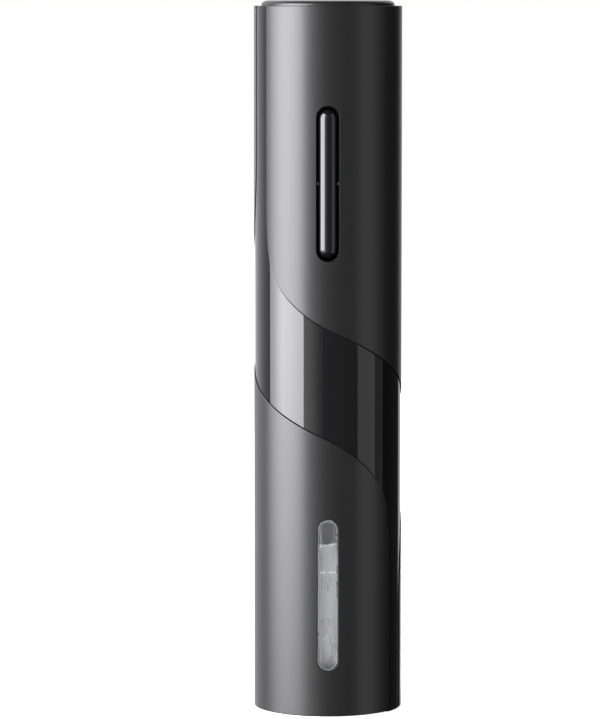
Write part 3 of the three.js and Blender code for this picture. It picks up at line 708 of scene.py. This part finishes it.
def window_piece():
    """The clear lens, its frosted edge and the flange that holds it behind the body's wall."""
    clear = MATERIALS["window_clear"]
    edge, pocket = 0.3, 1.1

    def pill(inset):
        return pill_points(WINDOW_WIDTH - 2 * inset, WINDOW_HEIGHT - 2 * inset, WINDOW_Z)

    panel("window_lens_face", [Outline(pill(edge))], LENS_FLANGE_OUTER + 0.03, LENS_OUTER, "root",
          clear, ("window_lens",), rounding=0.1, column=0.5, row=2.0)
    panel("window_lens_edge", [Outline(pill(0)), Outline(pill(edge + 0.02)[::-1], rounding=0.05)],
          LENS_FLANGE_OUTER + 0.03, LENS_OUTER, "root",
          MATERIALS["frosted_edge"], ("window_lens",), rounding=0.12, column=0.5, row=2.0)
    panel("window_lens_flange", [
        Outline(pill_points(LENS_FLANGE_WIDTH, LENS_FLANGE_HEIGHT, WINDOW_Z)),
        Outline(pill(pocket)[::-1]),
    ], LENS_FLANGE_INNER, LENS_FLANGE_OUTER - 0.03, "root", clear, ("window_lens",),
          rounding=0.15, column=0.6, row=2.5)


# ---------- Button ----------

def stacked(loops):
    """Skins a stack of equal outlines of 3D points in millimetres and closes both ends."""
    count = len(loops[0])
    vertices = [tuple(c * MM for c in point) for loop in loops for point in loop]
    faces = [tuple(reversed(range(count)))]
    for i in range(len(loops) - 1):
        for k in range(count):
            n = (k + 1) % count
            faces.append((i * count + k, i * count + n, (i + 1) * count + n, (i + 1) * count + k))
    last = (len(loops) - 1) * count
    faces.append(tuple(range(last, last + count)))
    return vertices, faces


def tidy_mesh(piece, distance=1e-6):
    """Joins points that coincide and makes all faces look outwards."""
    shape = bmesh.new()
    shape.from_mesh(piece.data)
    bmesh.ops.remove_doubles(shape, verts=shape.verts, dist=distance)
    bmesh.ops.dissolve_degenerate(shape, edges=shape.edges, dist=distance)
    bmesh.ops.recalc_face_normals(shape, faces=shape.faces)
    shape.to_mesh(piece.data)
    shape.free()
    piece.data.shade_smooth()


def rocker_piece():
    """A half-round bar with ball ends, on a flat-sided base."""
    radius = ROCKER_WIDTH / 2
    dome_steps = 14
    loops = []

    def loop(inset, y):
        outline = pill_points(ROCKER_WIDTH - 2 * inset, ROCKER_HEIGHT - 2 * inset, SLOT_Z, 16, 24)
        loops.append([(x, y, z) for x, z in outline])

    base_edge = 0.25
    loop(base_edge, -ROCKER_BACK)
    loop(0.07, -ROCKER_BACK - 0.07)
    loop(0, -ROCKER_BACK - base_edge)
    for k in range(dome_steps + 1):
        angle = math.pi / 2 * k / dome_steps
        loop(radius * (1 - math.cos(angle)), -(ROCKER_CREST - radius) - radius * math.sin(angle))
    vertices, faces = stacked(loops)
    piece = add_piece("rocker_button_face", vertices, faces, "rocker_button",
                      MATERIALS["button_gloss"], ("rocker_button",))
    tidy_mesh(piece)
    even_normals(piece)
    ear = rounded_block("rocker_button_ear", (-2.6, 2.6), (-ROCKER_BACK - 0.2, -ROCKER_EAR_BACK),
                        (SLOT_Z - 2.4, SLOT_Z + 2.4), 0.3, "rocker_button",
                        MATERIALS["button_gloss"])
    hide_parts("rocker_button")


def rounded_block(name, xs, ys, zs, edge, body, material):
    corners = [(x * MM, y * MM, z * MM) for z in zs for y in ys for x in xs]
    faces = [(0, 2, 3, 1), (4, 5, 7, 6), (0, 1, 5, 4), (2, 6, 7, 3), (0, 4, 6, 2), (1, 3, 7, 5)]
    piece = add_piece(name, corners, faces, body, material)
    bevel = piece.modifiers.new("rounded_edges", "BEVEL")
    bevel.width = edge * MM
    bevel.segments = 3
    return even_normals(piece)


# ---------- Mouth, cork chamber and corkscrew ----------

def guide_ring(name, height, sway):
    """A wire round the bottle guide, made bright by a painted glow, open by one step at the front.
    Its height varies by the sway either way, in four waves."""
    count, proud, wire, waves = 180, 0.2, 0.22, 4
    radius = GUIDE_RADIUS + proud
    path = []
    for k in range(count):
        turn = 2 * math.pi * k / count
        z = height + sway * math.sin(waves * turn)
        path.append((radius * math.sin(turn), -radius * math.cos(turn), z))
    vertices, faces = sweep(path, [wire] * count, 10)
    add_piece(name, vertices, faces, "root", MATERIALS["painted_glow_edge"], ("mouth_sleeve",))


def mouth_pieces():
    """The frosted bottle guide with its rings, and the chamber that the cork is drawn into."""
    bore, flange, collar, shoulder, rim = 16.5, 22.35, 14.45, 34, 2.6
    turned_piece("mouth_sleeve_tube", [
        (bore, SLEEVE_BOTTOM), (flange, SLEEVE_BOTTOM), (flange, rim), (GUIDE_RADIUS, rim),
        (GUIDE_RADIUS, GUIDE_TOP), (collar, GUIDE_TOP), (collar, shoulder), (bore, shoulder),
    ], "root", MATERIALS["mouth_clear"], ("mouth_sleeve",), rounding=0.35)
    guide_ring("mouth_sleeve_ring_1", GUIDE_TOP - 0.4, 1.1)
    guide_ring("mouth_sleeve_ring_2", LOW_RING_HEIGHT, 0)

    plastic = MATERIALS["inner_plastic"]
    bore, outer, flange, hub_hole = 12.5, 14.2, 19.7, 7
    bottom, flange_bottom, top = 36.6, 84, 86
    turned_piece("cork_chamber_tube", [
        (bore, bottom), (outer, bottom), (outer, flange_bottom), (flange, flange_bottom), (flange, top),
        (hub_hole, top), (hub_hole, flange_bottom), (bore, flange_bottom),
    ], "root", plastic, ("cork_chamber",))
    for i in range(CHAMBER_RIBS):
        rib = rounded_block(f"cork_chamber_rib_{i + 1}", (bore - 0.6, bore + 0.4), (-0.5, 0.5),
                            (bottom + 2, flange_bottom - 4), 0.2, "root", plastic)
        turn = 2 * math.pi * i / CHAMBER_RIBS
        for vertex in rib.data.vertices:
            x, y, z = vertex.co
            vertex.co = (
                x * math.cos(turn) - y * math.sin(turn),
                x * math.sin(turn) + y * math.cos(turn),
                z,
            )
        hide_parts("cork_chamber")


def corkscrew_pieces():
    """A polished wire helix that tapers to a point and runs in to the axis at its top."""
    tip, helix_top, straight, end = 12.4, 69.0, 76.0, 83.8
    steps = 520
    path = []
    radii = []
    length = 0.0
    for k in range(steps + 1):
        z = tip + (end - tip) * k / steps
        turn = 2 * math.pi * min(z, straight) / WORM_PITCH
        blend = min(max((z - helix_top) / (straight - helix_top), 0), 1)
        reach = WORM_RADIUS * (1 - blend * blend * (3 - 2 * blend))
        path.append((reach * math.cos(turn), reach * math.sin(turn), z))
        if k:
            length += math.dist(path[-1], path[-2])
        radii.append(min(WORM_WIRE, 0.12 + (WORM_WIRE - 0.12) * (length / 9.0) ** 0.8))
    vertices, faces = sweep(path, radii, 20)
    add_piece("corkscrew_wire", vertices, faces, "corkscrew_drive",
              MATERIALS["polished_steel"], ("corkscrew",))
    turned_piece("corkscrew_hub_body", [
        (0, 84), (1.6, 84), (1.6, 77), (6.2, 77), (6.2, 88.2), (4.15, 88.2), (4.15, 85.2), (0, 85.2),
    ], "corkscrew_drive", MATERIALS["polished_steel"], ("corkscrew_hub",), rounding=0.4)


# ---------- Lid and batteries ----------

def lid_pieces():
    """The cap's domed crown with its skirt and swivel socket, and its three bayonet lugs."""
    matte = MATERIALS["lid_plastic"]
    dome_width, dome_height, dome_steps = 2.4, 1.5, 8
    crown_bottom, skirt_bottom, socket_bottom = 236.4, 224.6, 230.5
    skirt, skirt_inner = 19.9, 18.4
    socket, socket_bore = 5.4, 3.3
    profile = [(0, LID_TOP)]
    for k in range(dome_steps + 1):
        angle = math.pi / 2 * k / dome_steps
        radius = LID_RADIUS - dome_width * (1 - math.sin(angle))
        profile.append((radius, LID_TOP - dome_height * (1 - math.cos(angle))))
    profile += [
        (LID_RADIUS, crown_bottom), (skirt, crown_bottom), (skirt, skirt_bottom),
        (skirt_inner, skirt_bottom), (skirt_inner, crown_bottom), (socket, crown_bottom),
        (socket, socket_bottom), (socket_bore, socket_bottom), (socket_bore, crown_bottom),
        (0, crown_bottom),
    ]
    turned_piece("lid_cap_body", profile, "lid_cap", matte, ("lid_cap",), rounding=0.12,
                 segments=192)
    half_angle, bottom, rise, height = 7, 228.8, 1.4, 2.2
    for i, angle in enumerate(LUG_ANGLES):
        start, end = (angle - half_angle) * DEGREE, (angle + half_angle) * DEGREE
        lug = polygon([(start, bottom), (end, bottom + rise), (end, bottom + rise + height),
                       (start, bottom + height)], 0.8)
        panel(f"lid_cap_lug_{i + 1}", [lug], skirt - 0.3, LUG_RADIUS, "lid_cap", matte,
              ("lid_cap",), rounding=0.25, column=0.7, row=0.7)


def battery_pieces():
    """Four cells, each a jacketed can with a nub. Every other one stands on its nub."""
    can, jacket_inset, nub = 7.15, 0.35, 2.75
    shoulder = CELL_TOP - 1.1
    for i, (x, y, nub_up) in enumerate(CELLS):
        profile = [
            (0, CELL_BOTTOM), (6.0, CELL_BOTTOM), (6.2, CELL_BOTTOM + jacket_inset),
            (can, CELL_BOTTOM + jacket_inset), (can, shoulder - 0.3), (6.6, shoulder),
            (nub, shoulder), (nub, CELL_TOP), (0, CELL_TOP),
        ]
        if not nub_up:
            profile = [(radius, CELL_BOTTOM + CELL_TOP - height) for radius, height in profile[::-1]]
        turned_piece(f"battery_{i + 1}_cell", profile, "root", MATERIALS["cell_jacket"],
                     (f"battery_{i + 1}",), rounding=0.25, segments=72, centre=(x, y))


def spring_pieces():
    """Conical contact springs: two under the cells and two under the cap's contact plate."""
    places = {
        "base_spring_1": (CELLS[0], 169.65, 171.55, "root"),
        "base_spring_2": (CELLS[2], 169.65, 171.55, "root"),
        "lid_spring_1": (CELLS[3], 224.55, 222.75, "lid_carrier"),
        "lid_spring_2": (CELLS[1], 224.55, 222.75, "lid_carrier"),
    }
    steps, turns, wire = 120, 2.6, 0.32
    wide, narrow = 4.4, 1.9
    for name, ((x, y, _), seat, tip, body) in places.items():
        path = []
        for k in range(steps + 1):
            t = k / steps
            turn = 2 * math.pi * turns * t
            reach = wide + (narrow - wide) * t
            path.append((x + reach * math.cos(turn), y + reach * math.sin(turn), seat + (tip - seat) * t))
        vertices, faces = sweep(path, [wire] * len(path), 12)
        add_piece(f"{name}_coil", vertices, faces, body, MATERIALS["contact_metal"],
                  (name,))


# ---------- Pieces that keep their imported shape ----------

def finish_packed_nodes():
    slots = {part["node"]: part["material_slot"] for part in frame["record"]["subparts"]}
    for node, thing in frame["nodes"].items():
        thing.material_slots[0].material = MATERIALS[slots[node]]
        bevel = thing.modifiers.new("soft_edges", "BEVEL")
        bevel.width = 0.12 * MM
        bevel.segments = 2
        bevel.limit_method = "ANGLE"
        bevel.angle_limit = math.radians(40)


body_pieces()
lip_pieces()
window_piece()
rocker_piece()
mouth_pieces()
corkscrew_pieces()
lid_pieces()
battery_pieces()
spring_pieces()
finish_packed_nodes()


# ---------- Camera and studio ----------

CARD_DISTANCE = 0.9
CARD_HEIGHTS = (-0.6, 1.2)


def aim(thing, place, target):
    thing.location = place
    thing.rotation_euler = (Vector(target) - Vector(place)).to_track_quat("-Z", "Y").to_euler()


def camera():
    data = bpy.data.cameras.new("camera")
    data.lens = 214.7
    data.sensor_width = 36
    thing = bpy.data.objects.new("camera", data)
    bpy.context.collection.objects.link(thing)
    aim(thing, (0, -1.45, 0.246), (-0.00944, 0, 0.1185))
    bpy.context.scene.camera = thing


def card_material(name, radiance, fades, color):
    """A glow of one radiance, times each fade across the card."""
    material = bpy.data.materials.new(name)
    material.use_nodes = True
    nodes, links = material.node_tree.nodes, material.node_tree.links
    nodes.clear()
    output = nodes.new("ShaderNodeOutputMaterial")
    glow = nodes.new("ShaderNodeEmission")
    glow.inputs["Color"].default_value = (*color, 1)
    glow.inputs["Strength"].default_value = radiance
    links.new(glow.outputs["Emission"], output.inputs["Surface"])
    place = nodes.new("ShaderNodeTexCoord")
    parts = nodes.new("ShaderNodeSeparateXYZ")
    links.new(place.outputs["Object"], parts.inputs["Vector"])
    level = None
    for axis, dimmest, full, least in fades:
        if axis == "X":
            dimmest, full = (CARD_DISTANCE * math.sin(math.radians(a)) for a in (dimmest, full))
        fade = nodes.new("ShaderNodeMapRange")
        fade.interpolation_type = "SMOOTHSTEP"
        for socket, number in (("From Min", dimmest), ("From Max", full), ("To Min", least), ("To Max", 1)):
            fade.inputs[socket].default_value = number
        links.new(parts.outputs[axis], fade.inputs["Value"])
        times = nodes.new("ShaderNodeMath")
        times.operation = "MULTIPLY"
        if level is None:
            times.inputs[0].default_value = radiance
        else:
            links.new(level, times.inputs[0])
        links.new(fade.outputs["Result"], times.inputs[1])
        level = times.outputs[0]
    if level is not None:
        links.new(level, glow.inputs["Strength"])
    return material


def card(name, azimuths, radiance, fades=(), color=(1, 1, 1)):
    """A glowing card on a circle round the opener, between two azimuths in degrees from the front,
    positive to the right. A fade is (axis, where it is dimmest, where it is full, dimmest share):
    along X in degrees from the card's middle, along Z in metres above the floor."""
    half_angle = math.radians(azimuths[1] - azimuths[0]) / 2
    steps = 24
    vertices = []
    for k in range(steps + 1):
        angle = half_angle * (2 * k / steps - 1)
        x, y = CARD_DISTANCE * math.sin(angle), -CARD_DISTANCE * math.cos(angle)
        vertices += [(x, y, height) for height in CARD_HEIGHTS]
    faces = [(2 * k, 2 * k + 1, 2 * k + 3, 2 * k + 2) for k in range(steps)]
    mesh = bpy.data.meshes.new(name)
    mesh.from_pydata(vertices, [], faces)
    mesh.materials.append(card_material(name, radiance, fades, color))
    thing = bpy.data.objects.new(name, mesh)
    bpy.context.collection.objects.link(thing)
    thing.rotation_euler = (0, 0, math.radians(sum(azimuths) / 2))
    thing.visible_camera = False
    thing.visible_shadow = False


def backdrop():
    """White to the camera, and nearly dark to everything that the cards light."""
    world = bpy.data.worlds.new("studio")
    bpy.context.scene.world = world
    world.use_nodes = True
    nodes, links = world.node_tree.nodes, world.node_tree.links
    path = nodes.new("ShaderNodeLightPath")
    mix = nodes.new("ShaderNodeMix")
    mix.data_type = "RGBA"
    mix.inputs["A"].default_value = (0.045, 0.045, 0.047, 1)
    mix.inputs["B"].default_value = (1, 1, 1, 1)
    links.new(path.outputs["Is Camera Ray"], mix.inputs["Factor"])
    links.new(mix.outputs["Result"], nodes["Background"].inputs["Color"])


def floor():
    bpy.ops.mesh.primitive_plane_add(size=12, location=(0, 0, 0))
    thing = bpy.context.object
    thing.name = "floor"
    material, _ = material_with_shader(
        "floor", (0.92, 0.92, 0.92), 0.9, Emission_Color=(1, 1, 1, 1), Emission_Strength=0.95)
    thing.data.materials.append(material)
    thing.visible_glossy = False
    thing.visible_diffuse = False
    thing.visible_shadow = False


def studio():
    """A big softbox on the left, dim cards on the right and behind, on a white ground."""
    view = bpy.context.scene.view_settings
    view.view_transform = "Standard"
    view.look = "None"
    backdrop()
    floor()
    softbox_fades = (("X", -32, -2, 0.36), ("X", 32, 8, 0.85), ("Z", -0.28, 0.08, 0.12))
    card("left_softbox", (-102.5, -38), 15.0, softbox_fades, (1.0, 0.99, 1.02))
    card("left_halo", (-38, -8), 2.0, (("X", 15, -15, 0.2),))
    card("front_fill", (-8, 47.5), 0.2)
    card("right_card", (47.5, 79), 0.95, (), (1.03, 0.99, 1.0))
    card("right_edge", (79, 96), 0.3)
    card("back_left", (-180, -102.5), 1.05, (("X", 38, 0, 0.5),))
    card("back_right", (149, 180), 0.8)


camera()
studio()
